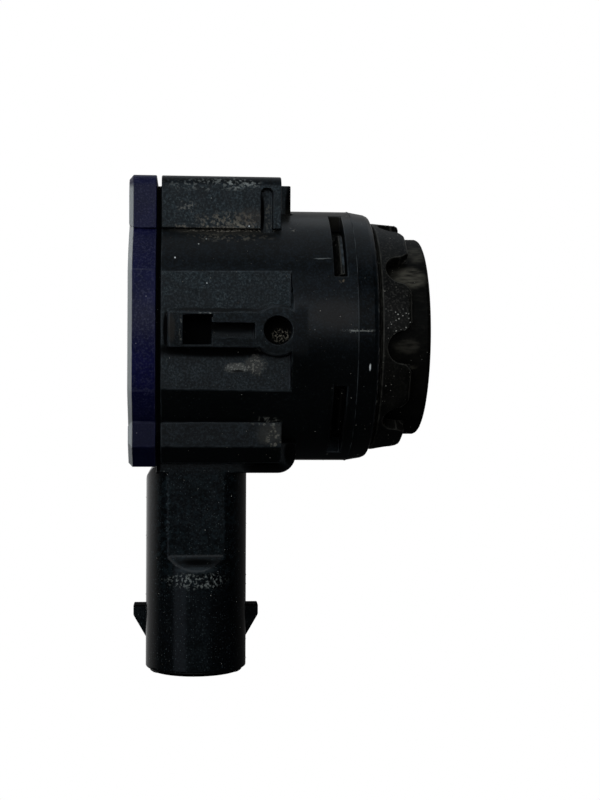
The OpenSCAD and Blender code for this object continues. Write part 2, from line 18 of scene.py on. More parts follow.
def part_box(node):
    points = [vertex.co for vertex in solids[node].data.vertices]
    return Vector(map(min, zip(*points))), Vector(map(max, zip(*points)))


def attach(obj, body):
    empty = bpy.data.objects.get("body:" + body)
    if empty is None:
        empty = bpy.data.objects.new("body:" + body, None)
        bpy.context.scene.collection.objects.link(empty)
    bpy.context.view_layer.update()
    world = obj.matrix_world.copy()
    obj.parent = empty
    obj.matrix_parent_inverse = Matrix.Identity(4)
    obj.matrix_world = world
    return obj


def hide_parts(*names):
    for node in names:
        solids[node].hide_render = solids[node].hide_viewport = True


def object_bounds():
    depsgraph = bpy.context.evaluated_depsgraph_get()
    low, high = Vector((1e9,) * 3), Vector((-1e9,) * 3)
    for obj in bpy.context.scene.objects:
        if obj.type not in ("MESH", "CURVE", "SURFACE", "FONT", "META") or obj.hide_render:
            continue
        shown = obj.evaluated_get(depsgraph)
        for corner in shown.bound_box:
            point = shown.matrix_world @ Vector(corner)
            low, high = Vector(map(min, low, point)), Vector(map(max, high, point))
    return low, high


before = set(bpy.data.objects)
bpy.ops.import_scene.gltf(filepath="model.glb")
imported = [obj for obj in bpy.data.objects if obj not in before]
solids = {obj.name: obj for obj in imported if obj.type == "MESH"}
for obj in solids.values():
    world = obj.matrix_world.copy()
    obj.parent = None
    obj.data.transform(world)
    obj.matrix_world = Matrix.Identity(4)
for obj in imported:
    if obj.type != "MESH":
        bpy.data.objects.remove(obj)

MM = 0.001
cad_low, cad_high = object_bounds()
print("solids:", len(solids), "box in mm:", [round(v / MM, 2) for v in (*cad_low, *cad_high)])

# %% [markdown]
# ## The camera
#
# The picture was taken from about 13 cm away, nearly square to the side of the barrel. A camera this
# close sees some of the curve of each round rim, so its place matters more than its lens. It could be
# aimed by a constraint, but then its roll is lost. So yaw, pitch and roll are turned into three axes, and
# the matrix is set from them: right, up and back are what a camera calls X, Y and Z.

# %% Camera
EYE_MM = Vector((-8.16, -131.57, -5.77))
YAW, PITCH, ROLL = (math.radians(a) for a in (-4.55, -0.1, -0.23))
LENS_MM, SENSOR_MM = 63.0, 36.0
NEAREST, FARTHEST = 0.01, 20.0  # metres

turn = Matrix.Rotation(YAW, 3, "Z") @ Matrix.Rotation(PITCH, 3, "X") @ Matrix.Rotation(ROLL, 3, "Y")
right, ahead, up = turn.col[0], turn.col[1], turn.col[2]
camera_data = bpy.data.cameras.new("photo_camera")
camera_data.lens = LENS_MM
camera_data.sensor_width = SENSOR_MM
camera_data.clip_start, camera_data.clip_end = NEAREST, FARTHEST
camera = bpy.data.objects.new("photo_camera", camera_data)
camera.matrix_world = Matrix.Translation(EYE_MM * MM) @ Matrix((right, up, -ahead)).transposed().to_4x4()
bpy.context.scene.collection.objects.link(camera)
bpy.context.scene.camera = camera
print("camera looks along", [round(v, 3) for v in ahead])


# %% [markdown]
# ## Small helpers for node trees
#
# A material is a tree of nodes. One function adds a node, sets its values and joins its sockets, so that
# each recipe further down reads as a list. A mask is a value from 0 to 1 that says where something lies,
# and one function overlaps masks. Colours are written as the hex values a paint chart would give, and one
# function turns them into the linear light that a render is computed in.

# %% Node and colour helpers
def add(tree, kind, joins=(), **settings):
    """Adds one node. joins maps a socket to a value, to an output, or to a node's first live output."""
    made = tree.nodes.new(kind)
    for key, value in settings.items():
        setattr(made, key, value)
    for key, value in dict(joins).items():
        socket = made.inputs[key] if isinstance(key, int) else next(
            s for s in made.inputs if s.name == key and s.enabled)
        if isinstance(value, bpy.types.Node):
            value = next(s for s in value.outputs if s.enabled)
        if isinstance(value, bpy.types.NodeSocket):
            tree.links.new(value, socket)
        else:
            socket.default_value = value
    return made


SOFTLY = {"interpolation_type": "SMOOTHSTEP"}  # for a ramp without corners


def overlap(*masks):
    """What several masks have in common: their product. A node knows its own tree: id_data."""
    made = masks[0]
    for mask in masks[1:]:
        made = add(mask.id_data, "ShaderNodeMath", {0: made, 1: mask}, operation="MULTIPLY")
    return made


def linear(code):
    """sRGB hex text to a linear RGBA colour."""
    parts = [int(code[i:i + 2], 16) / 255 for i in (1, 3, 5)]
    return [c / 12.92 if c <= 0.04045 else ((c + 0.055) / 1.055) ** 2.4 for c in parts] + [1.0]


print("a mid grey, #808080, is", round(linear("#808080")[0], 3), "in linear light")


# %% [markdown]
# ## White ground and soft light
#
# The ground of the picture is plain white and shows no shadow, because the floor is far below the part.
# The world is white to the camera and through anything clear. A shiny surface mirrors that white ground
# too, where it really stands: behind the part and mostly at its left. That draws the pale rims. Below and
# on the camera's side the room is dark. A white box round the part would do it too, but it would also
# wash out the black plastic.

# %% World
scene = bpy.context.scene
scene.view_settings.view_transform = "Standard"
world = bpy.data.worlds.new("pale_room")
scene.world = world
world.use_nodes = True
tree = world.node_tree
tree.nodes.clear()
ROOM = 0.06  # share of the ground's white that falls on the part as plain light
GROUND_REACH = [  # axis of the view, where the white ends, where it is full, and what is left past its end
    (1, -0.1, 0.5, 0.0),   # it stands behind the part
    (0, 0.3, -0.3, 0.12),  # mostly at its left
    (2, -0.35, 0.0, 0.0),  # not below
    (2, 0.7, 0.25, 0.3)]   # and less overhead
toward = add(tree, "ShaderNodeTexCoord").outputs["Generated"]
axes = add(tree, "ShaderNodeSeparateXYZ", {0: toward})
ground = 1.0
for axis, none, full, least in GROUND_REACH:
    part = add(tree, "ShaderNodeMapRange", {0: axes.outputs[axis], 1: none, 2: full, 3: least}, **SOFTLY)
    ground = overlap(ground, part)
path = add(tree, "ShaderNodeLightPath")
room = overlap(ROOM, ground)
mirrored = add(tree, "ShaderNodeMix", {"Factor": path.outputs["Is Glossy Ray"], "A": room, "B": ground})
seen = add(tree, "ShaderNodeMath", {
    0: path.outputs["Is Camera Ray"], 1: path.outputs["Is Transmission Ray"]}, operation="MAXIMUM")
level = add(tree, "ShaderNodeMix", {"Factor": seen, "A": mirrored, "B": 1.0})
sky = add(tree, "ShaderNodeBackground", {"Color": linear("#FFFFFF"), "Strength": level})
add(tree, "ShaderNodeOutputWorld", {0: sky})
print("light that the room itself gives:", ROOM)

# %% Floor
FLOOR_DROP, FLOOR_R = 0.30, 0.9  # metres under the axis, and its radius
FLOOR_CORNERS = 96
floor_mesh = bpy.data.meshes.new("floor")
spokes = [i * math.tau / FLOOR_CORNERS for i in range(FLOOR_CORNERS)]
floor_mesh.from_pydata([(FLOOR_R * math.cos(a), FLOOR_R * math.sin(a), -FLOOR_DROP) for a in spokes], [],
                       [tuple(range(FLOOR_CORNERS))])
floor = bpy.data.objects.new("floor", floor_mesh)
scene.collection.objects.link(floor)
print("floor lies", FLOOR_DROP, "m under the axis")

# %% Paper of the floor
# Matt white paper: white to the eye, grey as a giver of light, and its rim melts into the ground.
PALE_FROM, PALE_AT = 0.3, 0.85  # metres from the middle, between which the paper turns plain white
LEAST_WHITE = 0.72
paper = bpy.data.materials.new("matt_white_paper")
paper.use_nodes = True
tree = paper.node_tree
tree.nodes.clear()
spot = add(tree, "ShaderNodeTexCoord").outputs["Object"]
flat = add(tree, "ShaderNodeVectorMath", {0: spot, 1: (1, 1, 0)}, operation="MULTIPLY")
out = add(tree, "ShaderNodeVectorMath", {0: flat}, operation="LENGTH")
pale = add(tree, "ShaderNodeMapRange", {0: out, 1: PALE_FROM, 2: PALE_AT, 3: LEAST_WHITE, 4: 1.0}, **SOFTLY)
path = add(tree, "ShaderNodeLightPath")
seen = add(tree, "ShaderNodeMath", {
    0: path.outputs["Is Camera Ray"], 1: path.outputs["Is Transmission Ray"]}, operation="MAXIMUM")
share = overlap(seen, pale)
shade = add(tree, "ShaderNodeMix", {"Factor": seen, "A": linear("#4A4A4A"), "B": linear("#F4F4F2")},
            data_type="RGBA")
matt = add(tree, "ShaderNodeBsdfDiffuse", {"Color": shade})
white = add(tree, "ShaderNodeEmission", {"Color": linear("#FFFFFF"), "Strength": 1.0})
both = add(tree, "ShaderNodeMixShader", {0: share, 1: matt, 2: white})
add(tree, "ShaderNodeOutputMaterial", {0: both})
floor_mesh.materials.append(paper)
print("paper is plain white", PALE_AT, "m out")


# %% [markdown]
# ## The lamps
#
# The shading on the barrel tells where the light was. It is brightest where the surface leans back ten
# degrees, fades slowly upwards and ends sharply just below the middle. That is a broad soft window, left
# of the camera, whose sill is level with the part. It is dimmer higher up, and a dim ceiling follows. A
# small dim window stands at the right, and a low lamp at the left draws the upright band on the socket.
# Daylight is a little blue, so these are tinted. Two weak walls keep the back readable. A single big lamp
# would be simpler, but the shading would then lose its sharp end.

# %% Lamps
def soft_lamp(name, azimuth, elevation, distance, wide, high, watts, tint):
    """A soft lamp aimed at the part. Azimuth 0 is the camera's side, and 90 the nose's."""
    a, e = math.radians(azimuth), math.radians(elevation)
    away = Vector((math.sin(a) * math.cos(e), -math.cos(a) * math.cos(e), math.sin(e)))
    data = bpy.data.lights.new(name, "AREA")
    data.shape, data.size, data.size_y, data.energy = "RECTANGLE", wide, high, watts
    data.color = linear(tint)[:3]
    lamp = bpy.data.objects.new(name, data)
    lamp.matrix_world = (Matrix.Translation((cad_low + cad_high) / 2 + away * distance)
                         @ away.to_track_quat("Z", "Y").to_matrix().to_4x4())
    lamp.visible_camera = False
    scene.collection.objects.link(lamp)


LAMPS = [  # name, azimuth and elevation in degrees, distance, width and height in metres, watts, tint
    ("front_window", -25, 18, 0.45, 0.74, 0.27, 1.56, "#F2F9FF"),
    ("upper_window", -30, 48, 0.45, 0.55, 0.24, 0.48, "#DFF0FF"),
    ("ceiling", 180, 78, 0.45, 0.70, 0.58, 0.88, "#E8F3FF"),
    ("right_window", 22, 18, 0.45, 0.14, 0.27, 0.11, "#F2F9FF"),
    ("low_left", -38, -8, 0.45, 0.22, 0.25, 0.18, "#DCEBFF"),
    ("left_rear_wall", -118, 20, 0.50, 0.40, 0.40, 0.30, "#FFFFFF"),
    ("right_rear_wall", 145, 25, 0.50, 0.40, 0.40, 0.12, "#FFFFFF")]
for lamp in LAMPS:
    soft_lamp(*lamp)


# %% [markdown]
# ## Patterns that every finish shares
#
# The plastics differ in colour and shine, but the road treated them alike: a thin film, pale specks,
# dried mud where it could settle, and edges rubbed lighter. Each of these is one small pattern. They all
# read Object coordinates in millimetres, so their scales are real sizes. Painted pictures would need an
# unwrapped surface, and they blur when the part is seen from close by.

# %% A finish and its coats
def finish(name, base, roughness, specular=0.5, ior=1.5, metallic=0.0):
    """A material with one shader. Returns it with its shader and the place in millimetres."""
    material = bpy.data.materials.new(name)
    material.use_nodes = True
    tree = material.node_tree
    tree.nodes.clear()
    shader = add(tree, "ShaderNodeBsdfPrincipled", {
        "Base Color": linear(base), "Roughness": roughness, "Specular IOR Level": specular,
        "IOR": ior, "Metallic": metallic})
    add(tree, "ShaderNodeOutputMaterial", {0: shader})
    spot = add(tree, "ShaderNodeTexCoord").outputs["Object"]
    place = add(tree, "ShaderNodeVectorMath", {0: spot, "Scale": 1 / MM}, operation="SCALE")
    return material, shader, place


def coat(shader, under, *layers):
    """Lays powders over a colour, one after the other, and gives the result to the shader.

    A layer is where it lies, its strength and its colour."""
    tree = shader.id_data
    for where, strength, code in layers:
        share = overlap(strength, where)
        under = add(tree, "ShaderNodeMix", {"Factor": share, "A": under, "B": linear(code)}, data_type="RGBA")
    tree.links.new(under.outputs[2], shader.inputs["Base Color"])
    return under


print("a finish starts from its name, colour, roughness and shine")


# %% Patterns of dust and wear
SPECK_CORE = 0.4  # share of a speck's radius that is at full strength
PICK_WIDTH = 0.02  # how gently the kept cells are told from the others
WOBBLE_PER_MM = 1.6  # how fast the edge of a ragged patch wanders
PATCH_CORE = 0.45  # share of a patch's half size that is at full strength


def film(place, size, low, high):
    """A cloudy film in patches about size millimetres across, half a period of the noise: 0 thin, 1 thick."""
    tree = place.id_data
    cloud = add(tree, "ShaderNodeTexNoise", {"Vector": place, "Scale": 0.5 / size, "Detail": 4.0})
    return add(tree, "ShaderNodeMapRange", {0: cloud, 1: low, 2: high}, **SOFTLY)


def specks(place, spacing, radius, share):
    """Round dust specks: one in each cell of about spacing millimetres, kept in that share of the cells."""
    tree = place.id_data
    cells = add(tree, "ShaderNodeTexVoronoi", {"Vector": place, "Scale": 1 / spacing, "Randomness": 1.0})
    dot = add(tree, "ShaderNodeMapRange", {0: cells, 1: radius / spacing, 2: SPECK_CORE * radius / spacing},
              **SOFTLY)
    pick = add(tree, "ShaderNodeSeparateColor", {0: cells.outputs["Color"]})
    kept = add(tree, "ShaderNodeMapRange", {0: pick, 1: 1 - share, 2: 1 + PICK_WIDTH - share})
    return overlap(dot, kept)


def patch(place, middle, half, ragged=0.0):
    """1 inside an ellipsoid of half sizes in millimetres, falling to 0 at its edge, which may be ragged."""
    tree = place.id_data
    if ragged:
        wobble = add(tree, "ShaderNodeTexNoise", {"Vector": place, "Scale": WOBBLE_PER_MM, "Detail": 4.0})
        shift = add(tree, "ShaderNodeVectorMath", {0: wobble.outputs["Color"], 1: (0.5, 0.5, 0.5)},
                    operation="SUBTRACT")
        place = add(tree, "ShaderNodeVectorMath", {0: shift, 1: (ragged, ragged, ragged), 2: place},
                    operation="MULTIPLY_ADD")
    gap = add(tree, "ShaderNodeVectorMath", {0: place, 1: middle}, operation="SUBTRACT")
    part = add(tree, "ShaderNodeVectorMath", {0: gap, 1: half}, operation="DIVIDE")
    reach = add(tree, "ShaderNodeVectorMath", {0: part}, operation="LENGTH")
    return add(tree, "ShaderNodeMapRange", {0: reach, 1: 1.0, 2: PATCH_CORE}, **SOFTLY)


def rubbed_edges(place, size):
    """The small rounds of a moulding, which carry the mark 1, broken up where they were not rubbed."""
    edge = add(place.id_data, "ShaderNodeAttribute", attribute_name="small_round")
    return overlap(edge.outputs["Fac"], film(place, size, 0.15, 0.85))


print("one speck fades over", 1 - SPECK_CORE, "of its radius, one patch over", 1 - PATCH_CORE)


# %% Masks by place and direction
GRAIN_DEPTH = 0.02 * MM


def facing(place, axis, none, full):
    """0 to 1 as a face turns toward an axis, between two values of its normal. For Y both ways count."""
    tree = place.id_data
    faces = add(tree, "ShaderNodeSeparateXYZ", {0: add(tree, "ShaderNodeTexCoord").outputs["Normal"]})
    part = faces.outputs[axis]
    if axis == 1:
        part = add(tree, "ShaderNodeMath", {0: part}, operation="ABSOLUTE")
    return add(tree, "ShaderNodeMapRange", {0: part, 1: none, 2: full}, **SOFTLY)


def fade(place, axis, none, full, least=0.0):
    """Rises from least to 1 between two stations on an axis, in millimetres from the middle plane for Y."""
    tree = place.id_data
    part = add(tree, "ShaderNodeSeparateXYZ", {0: place}).outputs[axis]
    if axis == 1:
        part = add(tree, "ShaderNodeMath", {0: part}, operation="ABSOLUTE")
    return add(tree, "ShaderNodeMapRange", {0: part, 1: none, 2: full, 3: least, 4: 1.0}, **SOFTLY)


def grain(shader, place, size, strength):
    """The fine moulded grain, as a bump of that size in millimetres."""
    tree = place.id_data
    fine = add(tree, "ShaderNodeTexNoise", {"Vector": place, "Scale": 0.5 / size, "Detail": 2.0})
    bump = add(tree, "ShaderNodeBump", {"Height": fine, "Strength": strength, "Distance": GRAIN_DEPTH})
    tree.links.new(bump.outputs[0], shader.inputs["Normal"])


print("the moulded grain is", GRAIN_DEPTH / MM, "mm deep")

# %% [markdown]
# ## Housing plastic
#
# A black polyester with glass fibre, moulded against spark-eroded steel, which gives a fine even grain
# and a low dull shine. The marks below were read off the picture and turned into millimetres: flecks
# along the rails, mud by the latch, scuffs on the socket. They could be painted by hand, but a table of
# real sizes is easier to correct. The table keeps them, and a loop lays them on in that order.

# %% Housing marks
ALL_ROUND = 80  # mm: a half size so large that only the station along the axis counts
# Middle and half size in mm, ragged edge in mm, size of the flecks in it in mm (0 for a plain film),
# strength, colour.
HOUSING_MARKS = [
    # upper rail: flecks along its top, crust at its rear, dirt along its foot
    ((-6.26, -7.5, 13.1), (5.0, 1.2, 0.8), 0.5, 0.14, 0.5, "#6A6C68"),
    ((-3.97, -7.5, 13.1), (2.6, 1.2, 0.7), 0.5, 0.17, 0.7, "#82847F"),
    ((-8.45, -7.65, 11.1), (1.1, 0.6, 0.7), 0.5, 0.12, 0.7, "#6A6862"),
    ((-4.92, -7.8, 9.3), (3.6, 0.9, 0.6), 0.6, 0.14, 0.85, "#706A5E"),
    ((-8.62, -7.8, 9.2), (1.8, 0.9, 0.45), 0.5, 0.14, 0.8, "#666056"),
    ((-5.2, -7.5, 8.9), (5.4, 0.9, 0.55), 0.4, 0.0, 0.55, "#2A2824"),
    # brown film on the barrel's flank, a rubbed line down the socket
    ((4.5, -11.4, 1.5), (2.6, 2.0, 1.7), 0.8, 0.0, 0.5, "#16120F"),
    ((-9.95, -6.2, -15.3), (0.3, 0.7, 5.2), 0.15, 0.12, 0.4, "#364043"),
    # mud below the rail and in its slot
    ((-6.25, -8.0, 8.4), (1.4, 0.8, 0.7), 0.5, 0.12, 0.6, "#4A463D"),
    ((-1.1, -7.0, 10.4), (0.4, 0.6, 1.9), 0.3, 0.1, 0.7, "#4A463D"),
    # latch: painted shade in its slot, flecks under its boss
    ((-4.4, -10.75, -0.5), (3.4, 0.3, 0.9), 0.3, 0.0, 0.6, "#0C0E0F"),
    ((-1.57, -10.42, -1.5), (1.1, 0.5, 0.4), 0.3, 0.1, 0.6, "#55534C"),
    # two scuffs below the latch, their flecks, and a dent drawn as painted shade
    ((-2.4, -10.42, -2.9), (1.1, 0.6, 1.0), 0.9, 0.0, 0.6, "#403E3A"),
    ((-4.0, -10.42, -3.2), (1.3, 0.6, 0.5), 0.7, 0.0, 0.8, "#4C4B46"),
    ((-2.3, -10.42, -2.95), (1.1, 0.6, 1.1), 0.5, 0.09, 0.55, "#747168"),
    ((-4.0, -10.42, -3.2), (1.4, 0.6, 0.5), 0.4, 0.09, 0.7, "#7C7B76"),
    ((-3.9, -10.42, -3.5), (0.75, 0.5, 0.14), 0.2, 0.0, 1.0, "#000000"),
    # front end of the lower rail
    ((-1.0, -8.9, -8.9), (1.6, 0.7, 1.3), 0.8, 0.0, 0.45, "#34322D"),
    ((-1.3, -8.9, -7.9), (1.8, 0.7, 0.5), 0.4, 0.15, 0.7, "#6A6962"),
    ((-0.6, -8.9, -9.3), (1.0, 0.6, 1.3), 0.6, 0.15, 0.7, "#625E55"),
    # upper rail: crust in its corner, dirt on its face and on the slope below
    ((-5.2, -7.4, 9.08), (5.8, 0.6, 0.3), 0.3, 0.1, 0.9, "#766F64"),
    ((-4.4, -7.65, 9.9), (4.2, 0.6, 0.9), 0.9, 0.13, 0.75, "#5E584E"),
    ((-2.6, -7.65, 10.2), (2.0, 0.6, 1.0), 0.9, 0.0, 0.35, "#3A332C"),
    ((-4.6, -8.2, 8.4), (4.6, 0.9, 0.7), 0.8, 0.13, 0.7, "#4A453D"),
    # latch: a line of painted shade in the crease above it, flecks on its edge
    ((-5.6, -10.42, 1.78), (6.0, 0.35, 0.2), 0.25, 0.0, 0.9, "#020303"),
    ((-6.6, -11.5, 1.5), (1.1, 0.5, 0.22), 0.3, 0.1, 0.7, "#75756F"),
    # rim of the barrel, rubbed pale and also painted as its edge highlight, a line at the lower rail's foot
    ((8.36, 0, 0), (0.12, ALL_ROUND, ALL_ROUND), 0.08, 0.15, 0.8, "#8A8A84"),
    ((-2.07, -8.4, -11.44), (1.2, 0.7, 0.14), 0.2, 0.0, 0.6, "#4A4A46"),
    # latch: its bar, the rim of its pocket rubbed pale and also painted as its highlight, mud in the hole of
    # its boss
    ((-9.65, -11.65, 0.1), (0.45, 0.4, 1.7), 0.2, 0.0, 0.8, "#1F1C18"),
    ((-8.85, -11.6, 0.0), (0.2, 0.4, 1.5), 0.1, 0.12, 0.6, "#5A5A54"),
    ((-0.15, -10.1, -0.4), (1.1, 0.6, 0.8), 0.4, 0.08, 0.8, "#6A6458"),
    # socket: painted light on the curve below its flat, and flecks below it
    ((-7.36, -7.0, -21.16), (3.2, 0.8, 0.35), 0.3, 0.0, 0.5, "#2A2F31"),
    ((-7.35, -6.7, -22.1), (3.9, 1.4, 0.9), 0.8, 0.11, 0.6, "#767974"),
    # barrel: scratch with flecks, brown film on top, hair scratch, white chip, mud by the snap window
    ((6.6, -11.5, 0.0), (1.4, 0.5, 0.07), 0.1, 0.0, 0.7, "#7A7A74"),
    ((6.4, -11.5, 0.02), (1.9, 0.5, 0.22), 0.3, 0.09, 0.7, "#7A7A74"),
    ((3.5, -5.0, 10.6), (4.5, 5.0, 1.7), 0.9, 0.0, 0.35, "#34312B"),
    ((3.5, -9.74, 6.39), (1.0, 0.5, 0.06), 0.25, 0.0, 0.6, "#6A6C6A"),
    ((7.53, -10.87, -3.09), (0.11, 0.6, 0.42), 0.1, 0.0, 1.0, "#D0D0CC"),
    ((5.16, -10.8, 4.4), (0.6, 0.6, 0.35), 0.3, 0.12, 0.8, "#5A4F40"),
    # mud at the rail's front
    ((0.96, -7.2, 9.15), (0.5, 0.6, 0.5), 0.4, 0.12, 0.7, "#5F5B52"),
    # single specks
    ((-9.38, -9.72, 6.33), (0.09, 0.3, 0.09), 0.0, 0.0, 1.0, "#C9CBC8"),
    ((-7.33, -8.72, 7.65), (0.085, 0.3, 0.085), 0.1, 0.0, 0.9, "#8E908A"),
    ((-6.65, -8.25, 8.16), (0.085, 0.3, 0.085), 0.1, 0.0, 0.9, "#7E807A"),
    ((-6.23, -7.65, 11.82), (0.06, 0.3, 0.06), 0.0, 0.0, 0.9, "#8E908A"),
    ((-2.87, -7.65, 9.38), (0.085, 0.3, 0.085), 0.0, 0.0, 1.0, "#B9BBB8"),
    ((-6.62, -10.42, 4.09), (0.07, 0.3, 0.07), 0.0, 0.0, 1.0, "#C9CBC8"),
]
print("marks on the housing:", len(HOUSING_MARKS))

# %% Housing plastic, plain
# Moulded glass-filled polyester: nearly black, a fine even grain and a low dull shine under a grey film.
PLAIN_ROUGH = 0.28
housing_plastic, shader, place = finish("glass_filled_polyester_moulded", "#060707", PLAIN_ROUGH, 0.08)
tree = shader.id_data
# Painted light: faces that do not look down, and the upper parts most, get a lighter bluish film.
painted_light_from_above = overlap(facing(place, 2, -0.3, 0.1), fade(place, 2, -18.0, -6.0, 0.25))
colour = coat(shader, linear("#040505"),
              (film(place, 2.5, 0.3, 0.75), 0.9, "#08090A"),
              (overlap(painted_light_from_above, film(place, 0.4, 0.4, 0.72)), 0.35, "#141A1F"),
              (overlap(painted_light_from_above, film(place, 0.1, 0.45, 0.7)), 0.35, "#1C242A"))
print("nodes in the plain plastic:", len(tree.nodes))

# %% Spray on the flat sides
side = facing(place, 1, 0.94, 0.995)
streaks = add(tree, "ShaderNodeMapRange", {0: film(place, 0.55, 0.32, 0.68), 3: 0.35, 4: 1.05})
# The coat thins towards the bottom, so the flat sides are darker towards the bottom.
spray = overlap(side, fade(place, 0, 0.9, 0.5), fade(place, 1, 11.5, 10.9, 0.3),
                fade(place, 2, -12.0, 6.0, 0.15), streaks)
colour = coat(shader, colour,
              (spray, 0.52, "#232A2D"),
              (overlap(spray, film(place, 0.1, 0.42, 0.68)), 0.6, "#3A4245"),
              (overlap(spray, film(place, 0.16, 0.46, 0.68)), 0.75, "#0B0D0E"),
              (overlap(spray, film(place, 0.07, 0.55, 0.75)), 0.5, "#5A6061"))
print("nodes with the spray:", len(tree.nodes))

# %% Dust on the socket, the tops and the edges
below = fade(place, 2, -11.5, -12.8)
colour = coat(shader, colour,
              (film(place, 0.07, 0.55, 0.8), 0.4, "#2C3233"),
              # The socket's haze thins towards its end, so the socket is darker towards the bottom.
              (overlap(below, film(place, 0.22, 0.45, 0.7), fade(place, 2, -26.0, -19.0)), 0.5, "#192124"),
              (overlap(below, specks(place, 0.2, 0.06, 0.4)), 0.35, "#4A5254"),
              (facing(place, 2, 0.35, 1.0), 0.3, "#22211E"),
              (overlap(rubbed_edges(place, 0.4), fade(place, 2, -13.0, -11.5)), 0.35, "#3C4042"))
print("nodes with the dust:", len(tree.nodes))

# %% Painted shade in hollows
# Painted shade: black, matt spots where shade falls, in the latch's pocket, slot and boss hole, below
# the latch, in the weld gap and the rail's slot, by the lower rail, on the socket and round the lower window.
PAINTED_SHADE_SPOTS = [  # middle and half size in mm
    ((-7.45, -9.5, 0), (2.9, 0.75, 2.9)), ((-7.45, 9.5, 0), (2.9, 0.75, 2.9)),
    ((-0.5, -10.0, 0), (2.4, 0.5, 2.4)), ((-0.5, 10.0, 0), (2.4, 0.5, 2.4)),
    ((-5.6, -10.42, -1.65), (9.0, 0.3, 1.0)), ((-4.4, -10.75, 0.5), (6.0, 0.45, 1.1)),
    ((-10.15, -10.42, 0), (0.35, 0.3, 2.4)), ((-1.2, -6.4, -12.1), (3.6, 0.5, 1.1)),
    ((5.0, -8.1, -8.4), (1.3, 4.2, 4.2)), ((1.0, -6.3, -10.8), (0.9, 0.6, 1.8)),
    ((-1.7, -7.0, 10.6), (0.3, 0.75, 2.3)), ((0.9, -4.0, 11.3), (0.5, 0.6, 3.2)),
    ((-12.6, 0, -25.05), (1.6, 6.0, 0.3)), ((-2.2, 0, -25.05), (1.6, 6.0, 0.3)),
    ((-7.2, -6.9, -20.4), (2.9, 0.9, 0.55))]
weld_gap_shade = patch(place, (-10.81, 0, 0), (0.26, ALL_ROUND, ALL_ROUND))
painted_shade = overlap(weld_gap_shade, fade(place, 2, -12.6, -12.3))
for middle, half in PAINTED_SHADE_SPOTS:
    painted_shade = add(tree, "ShaderNodeMath", {0: painted_shade, 1: patch(place, middle, half)}, operation="MAXIMUM")
colour = coat(shader, colour, (painted_shade, 1.0, "#000000"))
print("dark hollows:", 1 + len(PAINTED_SHADE_SPOTS))

# %% Marks and specks
for middle, half, ragged, flecks, strength, code in HOUSING_MARKS:
    where = patch(place, middle, half, ragged)
    if flecks:
        where = overlap(where, film(place, flecks, 0.5, 0.64))
    colour = coat(shader, colour, (where, strength, code))
coat(shader, colour,
     (specks(place, 0.4, 0.04, 0.3), 0.4, "#6A6C68"),
     (specks(place, 0.9, 0.05, 0.2), 0.6, "#8A8C88"))
print("nodes with the marks:", len(tree.nodes))

# %% Shine of the housing
# Dusty flats and the latch are duller than the plain plastic, the clean socket is shinier.
latch = overlap(side, fade(place, 1, 11.4, 11.55), fade(place, 0, 2.2, 1.9))
rough = PLAIN_ROUGH
for where, change in ((spray, 0.32), (latch, 0.3), (below, -0.12)):
    rough = add(tree, "ShaderNodeMath", {0: where, 1: change, 2: rough}, operation="MULTIPLY_ADD")
# The painted shade spots are fully matt too, so no shine shows in them.
rough = add(tree, "ShaderNodeMath", {0: painted_shade, 1: rough}, operation="MAXIMUM")
tree.links.new(rough.outputs[0], shader.inputs["Roughness"])
grain(shader, place, 0.08, 0.25)
print("nodes in the housing's plastic:", len(tree.nodes))

# %% [markdown]
# ## Cover plastic
#
# The cover is welded on by a laser that shines through it, so its polyester is dyed and not filled with
# soot. That looks almost black and is a very dark violet in good light. The dye is drawn as three cloudy
# tones, with painted shade on the lower part. The rear round carries a painted highlight, a pale grey strip
# laid on by its station along the axis, because the edge runs all round the cover.

# %% Cover plastic
# Laser-transparent polyester: a very dark violet with a dull even shine, and a painted highlight on the rear
# edge.
STRIP_FRONT, STRIP_REAR = (-13.02, -13.1), (-13.437, -13.42)  # mm: where the strip starts and is full
STRIP_TOP = (13.2, 12.5)
cover_plastic, shader, place = finish("laser_transparent_polyester_moulded", "#0C0F30", 0.36, 0.08)
# Painted highlight: a pale strip on the rear round, where it catches the light of the room.
painted_rim_highlight = overlap(fade(place, 0, *STRIP_FRONT), fade(place, 0, *STRIP_REAR), fade(place, 2, *STRIP_TOP))
coat(shader, linear("#080927"),
     (film(place, 1.5, 0.35, 0.75), 0.8, "#14143A"),
     (film(place, 0.2, 0.45, 0.7), 0.5, "#06071E"),
     (film(place, 0.08, 0.45, 0.72), 0.5, "#36364A"),
     # Painted shade: the lower part of the cover is darker.
     (fade(place, 2, -4.0, -10.0), 0.75, "#030417"),
     (rubbed_edges(place, 0.5), 0.3, "#3A3A4A"),
     (painted_rim_highlight, 1.0, "#92928F"),
     (specks(place, 0.9, 0.07, 0.3), 0.5, "#85838C"))
grain(shader, place, 0.08, 0.2)
print("nodes in the cover's plastic:", len(shader.id_data.nodes))

# %% [markdown]
# ## Ring plastic
#
# The ring is polyamide from a coarsely eroded mould, so it is more matt than the housing, and its pores
# hold brown road dirt. Pale bits lie on the lobe that faces the light. A finer bump alone would look clean,
# so the dirt is drawn as colour as well.

# %% Ring plastic
# Polyamide, moulded: a coarse matt grain, browned by road dirt, with a painted sheen and painted shade on its
# lugs.
ring_plastic, shader, place = finish("polyamide_matt_moulded", "#0C0B0A", 0.45, 0.065)
lobe = patch(place, (10.2, -10.45, 0.9), (1.7, 0.6, 1.4), 0.4)
